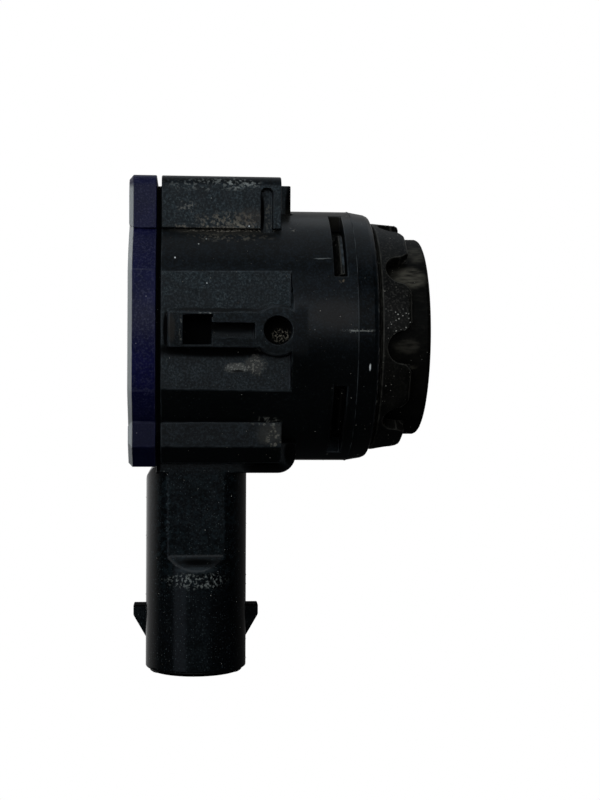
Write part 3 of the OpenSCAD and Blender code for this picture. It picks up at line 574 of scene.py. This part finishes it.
# Painted sheen on the upper snap lug in its window, painted shade on the lower one.
upper_lug_painted_sheen = patch(place, (5.38, -8.33, 7.11), (0.22, 2.6, 2.6))
lower_lug_painted_shade = patch(place, (5.2, -8.33, -7.3), (0.9, 4.0, 4.0))
coat(shader, linear("#050504"),
     (film(place, 0.8, 0.35, 0.75), 0.8, "#141310"),
     # The fine film thins towards the bottom, so the ring is lighter towards the top.
     (overlap(film(place, 0.09, 0.48, 0.68), fade(place, 2, -5.0, 4.0, 0.3)), 0.5, "#363430"),
     (rubbed_edges(place, 0.3), 0.6, "#4A4842"),
     (overlap(specks(place, 0.22, 0.07, 0.45), lobe), 0.9, "#B5B2A8"),
     (overlap(film(place, 0.3, 0.3, 0.6), upper_lug_painted_sheen), 0.7, "#3E4448"),
     (lower_lug_painted_shade, 0.9, "#000000"),
     (specks(place, 0.45, 0.05, 0.4), 0.7, "#8A877D"))
grain(shader, place, 0.12, 0.6)
print("nodes in the ring's plastic:", len(shader.id_data.nodes))

# %% [markdown]
# ## Silicone of the nose
#
# Silicone rubber is soft and a little sticky, so brown dust cakes on it, thickest where the ring's scallops
# shelter it. Wiping draws the dust out lengthwise. A stretched copy of the coordinates gives those streaks
# without another pattern.

# %% Silicone
# Soft black silicone rubber, moulded: dull, with brown dust in streaks along the axis.
CAKED = [  # middle and half size in mm, strength
    ((11.4, -7.7, 4.9), (2.0, 2.0, 1.4), 0.75), ((11.0, -9.1, -1.2), (1.5, 2.0, 0.8), 0.28),
    ((12.2, -5.5, 7.3), (1.2, 2.0, 1.6), 0.5), ((11.2, -9.1, -3.0), (1.0, 2.0, 0.3), 0.4)]
STRETCH = (0.25, 1.0, 1.0)  # a streak is four times as long as it is wide
silicone, shader, place = finish("silicone_rubber_moulded", "#0A0908", 0.5, 0.035, ior=1.41)
along = add(shader.id_data, "ShaderNodeVectorMath", {0: place, 1: STRETCH}, operation="MULTIPLY")
colour = coat(shader, linear("#050504"), (film(place, 1.0, 0.3, 0.75), 0.9, "#0F0E0C"))
for middle, half, strength in CAKED:
    caked = overlap(patch(place, middle, half, 0.8), film(along, 0.12, 0.2, 0.65))
    colour = coat(shader, colour, (caked, strength, "#4C483F"))
coat(shader, colour,
     # The streaks thin towards the bottom, so the nose is lighter towards the top.
     (overlap(film(along, 0.1, 0.5, 0.72), fade(place, 2, -4.0, 6.0, 0.25)), 0.4, "#26241F"),
     (specks(place, 0.5, 0.05, 0.3), 0.5, "#7A776E"))
grain(shader, place, 0.1, 0.4)
print("materials:", [m.name for m in (housing_plastic, cover_plastic, ring_plastic, silicone)])


# %% [markdown]
# ## The moulded pieces
#
# A moulding has no knife edges: steel tools leave a small round on each. The solids have sharp edges,
# so each visible piece is a copy of its solid with its loose triangles merged, its flats joined again,
# and a small round on every edge sharper than the facets of a curve. The radius is written on each edge
# as a bevel weight, so that the latch can be softer than the slots. The rounds keep a mark for the worn
# finish, and the normals are set from the true axes, so that facets never show. Subdivision would give
# soft edges too, but it would also pull every flat out of true.

# %% Plain meshes
def settle(obj, modifier):
    """Turns an object's evaluated shape into its own plain mesh and removes the modifier."""
    shape = bpy.data.meshes.new_from_object(obj.evaluated_get(bpy.context.evaluated_depsgraph_get()))
    obj.modifiers.remove(modifier)
    obj.data = shape


print("solids to dress:", len(solids))


# %% True normals
ON_AXIS = 0.05  # mm: a corner this near to the axis has no outward direction
LEAST_OUTWARD = 0.1  # a facet that faces out less than this is an end face
MOST_SKEW = 0.03  # a facet of a turned surface doesn't lean round its axis more than this
SLACK = 0.014  # mm by which its corners may miss the turned surface
KIN = 0.91  # cosine of the turn up to which flat neighbours are shaded as one
ROUND = 1  # the second material slot marks a round until the finish is laid on


def round_about(corners, normal, axes):
    """The corners' true normals where a facet lies on a surface turned about one of the axes, or None."""
    for spot, along in axes:
        rise = (corners - spot) @ along
        spokes = corners - spot - np.outer(rise, along)
        reach = np.linalg.norm(spokes, axis=1)
        if reach.min() < ON_AXIS:
            continue
        spokes = spokes / reach[:, None]
        middle = spokes.mean(0) / np.linalg.norm(spokes.mean(0))
        outward, lengthwise = normal @ middle, normal @ along
        off = (reach - reach.mean()) * outward + (rise - rise.mean()) * lengthwise
        square = abs(outward) > LEAST_OUTWARD and abs(normal @ np.cross(along, middle)) < MOST_SKEW
        if square and np.abs(off).max() < SLACK:
            return spokes * outward + along * lengthwise
    return None


def true_normals(mesh, axes):
    """Shades flats flat, turned surfaces round, and a small round as the turn between its neighbours."""
    axes = [(np.array(spot, float), np.array(along, float)) for spot, along in axes]
    spots = np.array([v.co for v in mesh.vertices]) / MM
    faces = [list(f.vertices) for f in mesh.polygons]
    looks = np.array([f.normal for f in mesh.polygons])
    is_round = [f.material_index == ROUND for f in mesh.polygons]
    around = [[] for _ in spots]
    for number, face in enumerate(faces):
        for v in face:
            around[v].append(number)
    shaded, given = {}, {}
    for number, face in enumerate(faces):
        if is_round[number]:
            continue
        turned = round_about(spots[face], looks[number], axes)
        for k, v in enumerate(face):
            if turned is not None:
                n = turned[k]
            else:
                kin = [looks[o] for o in around[v] if not is_round[o] and looks[o] @ looks[number] > KIN]
                n = np.sum(kin, axis=0)
            n = n / np.linalg.norm(n)
            shaded[number, v] = n
            given.setdefault(v, []).append(n)
    corners = []
    for number, face in enumerate(faces):
        for v in face:
            if is_round[number]:
                known = given.get(v)
                n = max(known, key=lambda m: m @ looks[number]) if known else np.sum(looks[around[v]], axis=0)
                corners.append(n / np.linalg.norm(n))
            else:
                corners.append(shaded[number, v])
    mark = mesh.attributes.new("small_round", "FLOAT", "FACE")
    mark.data.foreach_set("value", [float(r) for r in is_round])
    for face in mesh.polygons:
        face.material_index = 0
        face.use_smooth = True
    mesh.normals_split_custom_set([tuple(n) for n in corners])


print("a facet within", SLACK, "mm of a turned surface is shaded round")


# %% Rounded copies
TOUCH = 0.002 * MM  # corners nearer than this are one
FLAT = math.radians(0.6)  # facets that turn less are one flat
SHARP = math.radians(26.0)  # edges that turn more are rounded
ROUND_STEPS = 2


def rounded(node, material, radius, axes, softer=(), reshape=None):
    """A copy of a solid with its edges rounded by radius millimetres. It stands for that solid.

    softer lists boxes with a radius of their own: low corner, high corner, radius, all in millimetres,
    with Y counted from the middle plane."""
    mesh = bpy.data.meshes.new(node + "_moulded")
    work = bmesh.new()
    work.from_mesh(solids[node].data)
    bmesh.ops.remove_doubles(work, verts=work.verts, dist=TOUCH)
    bmesh.ops.dissolve_limit(work, angle_limit=FLAT, verts=work.verts, edges=work.edges)
    for face in work.faces:
        face.material_index = 0
    if reshape:
        reshape(work)
    widest = max([radius] + [r for _, _, r in softer])
    weight = work.edges.layers.float.new("bevel_weight_edge")
    for edge in work.edges:
        if len(edge.link_faces) != 2 or edge.calc_face_angle(0.0) < SHARP:
            continue
        if any(f.material_index == ROUND for f in edge.link_faces):
            continue
        middle = (edge.verts[0].co + edge.verts[1].co) / 2 / MM
        spot = (middle.x, abs(middle.y), middle.z)
        mine = next((r for low, high, r in softer
                     if all(a <= m <= b for a, m, b in zip(low, spot, high))), radius)
        edge[weight] = mine / widest
    work.to_mesh(mesh)
    work.free()
    mesh.materials.clear()
    for _ in range(ROUND + 1):
        mesh.materials.append(material)
    piece = bpy.data.objects.new(node + "_moulded", mesh)
    scene.collection.objects.link(piece)
    round_off = piece.modifiers.new("small_rounds", "BEVEL")
    round_off.width, round_off.segments = widest * MM, ROUND_STEPS
    round_off.limit_method = "WEIGHT"
    round_off.use_clamp_overlap = False
    round_off.material = ROUND
    settle(piece, round_off)
    true_normals(piece.data, axes)
    piece.data.materials.pop(index=ROUND)
    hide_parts(node)
    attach(piece, "root")
    print(piece.name, len(piece.data.polygons), "faces")
    return piece


ALONG_X, ALONG_Y, ALONG_Z = (1, 0, 0), (0, 1, 0), (0, 0, 1)
BARREL_AXIS = [((0, 0, 0), ALONG_X)]  # a spot on the axis in mm, and its direction
print("edges that turn more than", round(math.degrees(SHARP)), "degrees are rounded")

# %% Housing
SOCKET_X, SOCKET_BEND_Y = -7.41, 2.42
HOUSING_AXES = BARREL_AXIS + [
    ((SOCKET_X, SOCKET_BEND_Y, 0), ALONG_Z), ((SOCKET_X, -SOCKET_BEND_Y, 0), ALONG_Z),  # socket's ends
    ((-0.5, 0, 0), ALONG_Y),  # boss of the latch
    ((0, 6.45, 12.73), ALONG_X), ((0, -6.45, 12.73), ALONG_X),  # shoulders of the upper rails
    ((-0.17, 0, -10.95), ALONG_Y),  # front corner of the lower rails
    ((-10.69, 0, -13.36), ALONG_Y),  # shoulder of the socket
    ((-1.29, 0, 12.28), ALONG_Y)]  # round end of the rail's slot
HOUSING_SOFTER = [
    ((-8.77, 9.0, -1.3), (-2.37, 11.7, 1.3), 0.1),  # edges of the latch's pocket and slot
    ((-1.77, 9.0, -1.3), (0.83, 11.7, 1.3), 0.1),  # rim of the boss's hole
    ((-10.27, 11.0, -2.4), (1.93, 11.7, 2.4), 0.26),  # outline of the latch
    ((-12.27, 5.0, -31.0), (-2.27, 7.1, -13.0), 0.2),  # the socket's flats and rim
]
housing = rounded("housing", housing_plastic, 0.1, HOUSING_AXES, HOUSING_SOFTER)

# %% [markdown]
# ## Cover
#
# The cover is welded on behind. Its solid has a small step along the rear edge. The real edge is a soft
# round, which catches the light of the room as a pale strip. The step's inner corners are drawn onto its
# outer ones, which leaves one sloped band, and the band is shaded as a round. A wide bevel could do it
# too, but the step is in its way.

# %% Cover
COVER_AXES = BARREL_AXIS + [((0, 6.5, 12.73), ALONG_X), ((0, -6.5, 12.73), ALONG_X)]
COVER_STEP_X, COVER_REAR_X = -13.08, -13.44
SAME_SPOT = 0.01  # mm: corners this near to a station lie on it
CLEAR_OF = 0.02  # mm: a face this far from both stations lies between them
LEAST_SLOPE = 0.2  # the band leans back at least this much


def slope_the_step(work):
    """Turns the cover's rear step into a sloped band and marks that band as a round."""
    level = [v for v in work.verts if abs(v.co.x / MM - COVER_STEP_X) < SAME_SPOT]
    rear = [v for v in work.verts if abs(v.co.x / MM - COVER_REAR_X) < SAME_SPOT]
    inner = [v for v in level if any((v.co - r.co).yz.length < SAME_SPOT * MM for r in rear)]
    outer = [v for v in level if v not in set(inner)]
    for v in inner:
        v.co = min(outer, key=lambda o: (o.co - v.co).length).co
    bmesh.ops.remove_doubles(work, verts=level, dist=TOUCH)
    for face in work.faces:
        middle = face.calc_center_median().x / MM
        between = COVER_REAR_X + CLEAR_OF < middle < COVER_STEP_X - CLEAR_OF
        if between and abs(face.normal.x) > LEAST_SLOPE:
            face.material_index = ROUND
    band = sum(f.material_index == ROUND for f in work.faces)
    print("cover's rear band:", band, "faces from", len(inner), "corners")


cover = rounded("rear_cover", cover_plastic, 0.1, COVER_AXES, reshape=slope_the_step)

# %% [markdown]
# ## Ring, nose and pot
#
# The ring snaps into the barrel, the silicone sleeve sits in it, and the pot sits in the sleeve. All three
# are turned shapes, and the ring has scallops cut square to the axis. They could be spun anew, but their
# solids have every lug and groove already, so rounded copies serve here too.

# %% Ring and nose
SCALLOPS, FIRST_SCALLOP, SCALLOP_X = 9, 97.5, 10.62  # how many, degrees from the top, station in mm
SCALLOP_AXES = [((SCALLOP_X, 0, 0), (0, -math.sin(a), math.cos(a)))
                for a in (math.radians(FIRST_SCALLOP - i * 360 / SCALLOPS) for i in range(SCALLOPS))]
ring = rounded("retaining_ring", ring_plastic, 0.08, BARREL_AXIS + SCALLOP_AXES)
nose = rounded("decoupling_ring", silicone, 0.12, BARREL_AXIS)

# %% Pot
# Deep-drawn aluminium under a black lacquer: smooth and a little glossy, with fine handling marks.
lacquer, shader, place = finish("aluminium_drawn_black_lacquered", "#0A0A0A", 0.35, 0.2)
coat(shader, linear("#080808"),
     (film(place, 1.2, 0.35, 0.7), 0.8, "#141311"),
     (specks(place, 0.8, 0.06, 0.2), 0.5, "#77746C"))
pot = rounded("membrane_pot", lacquer, 0.06, BARREL_AXIS)

# %% [markdown]
# ## What lies inside
#
# The electronics are hidden once the cover is welded on, but the part may be opened or cut. Their solids
# serve as they are. Each gets the finish of its trade from one table: a colour, how matt it is, whether it
# is metal, and a second tone in patches of a given size. A recipe for each would say the same fifteen times.

# %% Finishes of the inner parts
# Fired ceramic and ferrite are dull and finely speckled, foam swallows light, moulded plastics have an even
# soft sheen, varnish is smoother, and stamped or drawn metal mirrors the room through a fine grain.
INNER_FINISHES = [  # slot, its parts, name, colour, second tone, patch in mm, roughness, metallic
    ("ceramic", ["piezo_disc"], "piezo_ceramic_fired", "#B9AF98", "#A79C82", 0.3, 0.55, 0.0),
    ("foam", ["damping_foam"], "silicone_foam_cast", "#4A4A50", "#36363B", 0.15, 0.9, 0.0),
    ("carrier_plastic", ["contact_carrier"], "polybutylene_moulded", "#BDB7A6", "#B0A992", 1.2, 0.5, 0.0),
    ("contact_metal", ["transducer_contacts"], "tinned_brass_stamped", "#CFC9B8", "#B9B29E", 0.4, 0.35, 1.0),
    ("lead_copper", ["piezo_leads"], "copper_wire_enamelled", "#B5713F", "#9A5C30", 0.2, 0.35, 1.0),
    ("board", ["circuit_board"], "glass_epoxy_laminate_varnished", "#1E5A34", "#184A2B", 0.6, 0.4, 0.0),
    ("chip_epoxy", ["signal_chip"], "epoxy_transfer_moulded", "#202123", "#17181A", 0.2, 0.6, 0.0),
    ("ferrite", ["transformer_core"], "ferrite_sintered", "#3A3A3C", "#2C2C2E", 0.15, 0.7, 0.0),
    ("bobbin_plastic", ["transformer_bobbin"],
     "liquid_crystal_polymer_moulded", "#D5D0BF", "#C8C1AC", 0.8, 0.5, 0.0),
    ("winding_copper", [], "copper_wire_wound", "#B0602C", "#8E4A20", 0.2, 0.35, 1.0),
    ("capacitor_case", ["storage_capacitor"], "tantalum_case_moulded", "#C29A3C", "#B48C30", 0.4, 0.5, 0.0),
    ("capacitor_ceramic", ["chip_capacitors"],
     "barium_titanate_fired", "#A08563", "#8E7453", 0.2, 0.55, 0.0),
    ("resistor_body", ["chip_resistors"], "alumina_glazed_black", "#222325", "#2E2F31", 0.2, 0.4, 0.0),
    ("diode_body", ["protection_diode"], "epoxy_case_moulded", "#1A1A1B", "#232324", 0.2, 0.55, 0.0),
    ("terminal_metal", ["terminal_supply", "terminal_signal", "terminal_ground"],
     "tinned_bronze_stamped", "#CCC6B2", "#B7B09A", 0.4, 0.3, 1.0),
]
inner = {}
for slot, nodes, name, base, tone, size, roughness, metallic in INNER_FINISHES:
    inner[slot], shader, place = finish(name, base, roughness, metallic=metallic)
    coat(shader, linear(base), (film(place, size, 0.4, 0.7), 0.8, tone))
    for node in nodes:
        for socket in solids[node].material_slots:
            socket.link = "OBJECT"
            socket.material = inner[slot]
print("inner finishes:", len(inner))

# %% [markdown]
# ## Details that follow a rule
#
# Three details are made by rule and not by hand, with a small node tree each: the copper wire of the
# transformer is a spiral, the moulding leaves a fine flash line round the barrel, and sand grains stick
# wherever a face looks outward. Drawing them one by one would take hours, and a change of size would
# undo it. The trees have named inputs, and their results are turned into plain meshes.

# %% Trees of rules
def rule(name, inputs):
    """A new node tree with named inputs. Returns it, its inputs' sockets and the result's node."""
    made = bpy.data.node_groups.new(name, "GeometryNodeTree")
    made.interface.new_socket("Geometry", in_out="OUTPUT", socket_type="NodeSocketGeometry")
    for label, kind in inputs.items():
        made.interface.new_socket(label, in_out="INPUT", socket_type="NodeSocket" + kind)
    return made, add(made, "NodeGroupInput").outputs, add(made, "NodeGroupOutput")


def close_rule(tree, result, shape, material):
    """Ends a tree: single meshes, one material, smooth faces."""
    real = add(tree, "GeometryNodeRealizeInstances", {0: shape})
    smooth = add(tree, "GeometryNodeSetShadeSmooth", {0: real})
    dressed = add(tree, "GeometryNodeSetMaterial", {"Geometry": smooth, "Material": material})
    tree.links.new(dressed.outputs[0], result.inputs[0])


def apply_rule(name, tree, values, base=None):
    """Runs a tree on a mesh, or on nothing, with its inputs set by name, and keeps the plain result."""
    piece = bpy.data.objects.new(name, base.copy() if base else bpy.data.meshes.new(name))
    scene.collection.objects.link(piece)
    modifier = piece.modifiers.new(name, "NODES")
    modifier.node_group = tree
    for item in tree.interface.items_tree:
        if item.in_out == "INPUT" and item.name in values:
            modifier[item.identifier] = values[item.name]
    settle(piece, modifier)
    piece.data.name = name
    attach(piece, "root")
    print(name, len(piece.data.polygons), "faces")
    return piece


QUARTER_TURN = (0.0, math.pi / 2, 0.0)  # lays what stands along Z down along X
print("each rule ends in one plain mesh")

# %% Wire of the transformer
# Enamelled copper wire, wound close in two layers.
WIRE_R, WOUND_ON_R = 0.2 * MM, 1.6 * MM
LAYERS, STEPS_PER_TURN, WIRE_CORNERS = 2, 24, 6
wire, given, result = rule("wound_wire", {
    "Turns": "Float", "Length": "Float", "Inner Radius": "Float", "Wire Radius": "Float",
    "Middle": "Vector", "Material": "Material"})
section = add(wire, "GeometryNodeCurvePrimitiveCircle", {
    "Resolution": WIRE_CORNERS, "Radius": given["Wire Radius"]})
layers = []
for layer in range(LAYERS):
    reach = add(wire, "ShaderNodeMath", {
        0: given["Wire Radius"], 1: 2.0 * layer + 1.0, 2: given["Inner Radius"]},
        operation="MULTIPLY_ADD")
    spiral = add(wire, "GeometryNodeCurveSpiral", {
        "Resolution": STEPS_PER_TURN, "Rotations": given["Turns"], "Start Radius": reach,
        "End Radius": reach, "Height": given["Length"]})
    layers.append(add(wire, "GeometryNodeCurveToMesh", {
        "Curve": spiral, "Profile Curve": section, "Fill Caps": True}))
wound = add(wire, "GeometryNodeJoinGeometry")
for layer in layers:
    wire.links.new(layer.outputs[0], wound.inputs[0])
laid = add(wire, "GeometryNodeTransform", {
    "Geometry": wound, "Translation": given["Middle"], "Rotation": QUARTER_TURN})
close_rule(wire, result, laid, given["Material"])
coil_low, coil_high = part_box("transformer_winding")
coil_length = coil_high.x - coil_low.x - 2 * WIRE_R
coil = apply_rule("transformer_wire", wire, {
    "Turns": coil_length / (2 * WIRE_R), "Length": coil_length, "Inner Radius": WOUND_ON_R,
    "Wire Radius": WIRE_R, "Middle": Vector((coil_low.x + WIRE_R, 0, (coil_low.z + coil_high.z) / 2)),
    "Material": inner["winding_copper"]})
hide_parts("transformer_winding")

# %% Flash line
# Where the two halves of the mould meet, a hair of plastic stands up. It is drawn a little thicker than
# the real one, which would be too fine to show.
FLASH_X, FLASH_R, FLASH_LINE_R = 6.47 * MM, 11.645 * MM, 0.045 * MM
HOOP_STEPS, FLASH_CORNERS = 256, 6
line, given, result = rule("flash_line", {
    "Station": "Float", "Barrel Radius": "Float", "Line Radius": "Float", "Material": "Material"})
hoop = add(line, "GeometryNodeCurvePrimitiveCircle", {
    "Resolution": HOOP_STEPS, "Radius": given["Barrel Radius"]})
section = add(line, "GeometryNodeCurvePrimitiveCircle", {
    "Resolution": FLASH_CORNERS, "Radius": given["Line Radius"]})
bead = add(line, "GeometryNodeCurveToMesh", {"Curve": hoop, "Profile Curve": section})
spot = add(line, "ShaderNodeCombineXYZ", {0: given["Station"]})
laid = add(line, "GeometryNodeTransform", {"Geometry": bead, "Translation": spot, "Rotation": QUARTER_TURN})
close_rule(line, result, laid, given["Material"])
# Thin flash of the same polyester, rubbed pale along its crest.
flash_plastic, shader, place = finish("glass_filled_polyester_flash", "#1A1D1E", 0.5, 0.08)
coat(shader, linear("#0B0D0E"), (film(place, 0.7, 0.35, 0.65), 0.8, "#3E4142"))
flash = apply_rule("flash_line", line, {
    "Station": FLASH_X, "Barrel Radius": FLASH_R, "Line Radius": FLASH_LINE_R, "Material": flash_plastic})

# %% Rule of the sand grains
# A grain is kept only where its face looks away from the barrel's axis, or from the socket's lower down.
SOCKET_TOP = -12.6 * MM
LOOKS_OUT = 0.3  # how squarely a face has to look outward to hold a grain
FULL_TURN = (6.28, 6.28, 6.28)
SMALLEST, LARGEST = 0.35, 1.5  # shares of the usual radius
grit, given, result = rule("sand_grains", {
    "Geometry": "Geometry", "Grains per m2": "Float", "Grain Radius": "Float", "Seed": "Int",
    "Material": "Material"})
scatter = add(grit, "GeometryNodeDistributePointsOnFaces", {
    "Mesh": given["Geometry"], "Density": given["Grains per m2"], "Seed": given["Seed"]})
spot = add(grit, "GeometryNodeInputPosition")
height = add(grit, "ShaderNodeSeparateXYZ", {0: spot})
low = add(grit, "ShaderNodeMath", {0: height.outputs[2], 1: SOCKET_TOP}, operation="LESS_THAN")
off_barrel = add(grit, "ShaderNodeVectorMath", {0: spot, 1: (0, 1, 1)}, operation="MULTIPLY")
off_socket = add(grit, "ShaderNodeVectorMath", {0: spot, 1: (1, 1, 0), 2: (-SOCKET_X * MM, 0, 0)},
                 operation="MULTIPLY_ADD")
way = add(grit, "ShaderNodeMix", {"Factor": low, "A": off_barrel, "B": off_socket}, data_type="VECTOR")
unit = add(grit, "ShaderNodeVectorMath", {0: way}, operation="NORMALIZE")
outward = add(grit, "ShaderNodeVectorMath", {0: unit, 1: scatter.outputs["Normal"]}, operation="DOT_PRODUCT")
hidden = add(grit, "ShaderNodeMath", {0: outward.outputs["Value"], 1: LOOKS_OUT}, operation="LESS_THAN")
kept = add(grit, "GeometryNodeDeleteGeometry", {"Geometry": scatter.outputs["Points"], "Selection": hidden})
grain_shape = add(grit, "GeometryNodeMeshIcoSphere", {"Radius": given["Grain Radius"], "Subdivisions": 1})
turned = add(grit, "FunctionNodeRandomValue", {"Max": FULL_TURN, "Seed": given["Seed"]},
             data_type="FLOAT_VECTOR")
sized = add(grit, "FunctionNodeRandomValue", {
    "Min": SMALLEST, "Max": LARGEST, "Seed": given["Seed"]}, data_type="FLOAT")
placed = add(grit, "GeometryNodeInstanceOnPoints", {
    "Points": kept, "Instance": grain_shape, "Rotation": turned, "Scale": sized})
close_rule(grit, result, placed, given["Material"])
print("nodes in the sand's rule:", len(grit.nodes))

# %% Sand grains
# Quartz and clay, dried on: pale to brown grains without any shine.
GRAIN_R = 0.036 * MM
SANDED = [(housing, 0.22, 3), (ring, 0.9, 5), (nose, 0.35, 7)]  # piece, grains per mm2, seed
sand, shader, place = finish("road_sand_dried_on", "#7A776E", 0.9, 0.05)
coat(shader, linear("#3E3A33"), (film(place, 0.5, 0.45, 0.7), 1.0, "#9A978D"))
for carrier, density, seed in SANDED:
    apply_rule("sand_on_" + carrier.name.replace("_moulded", ""), grit, {
        "Grains per m2": density / MM ** 2, "Grain Radius": GRAIN_R, "Seed": seed, "Material": sand},
        carrier.data)
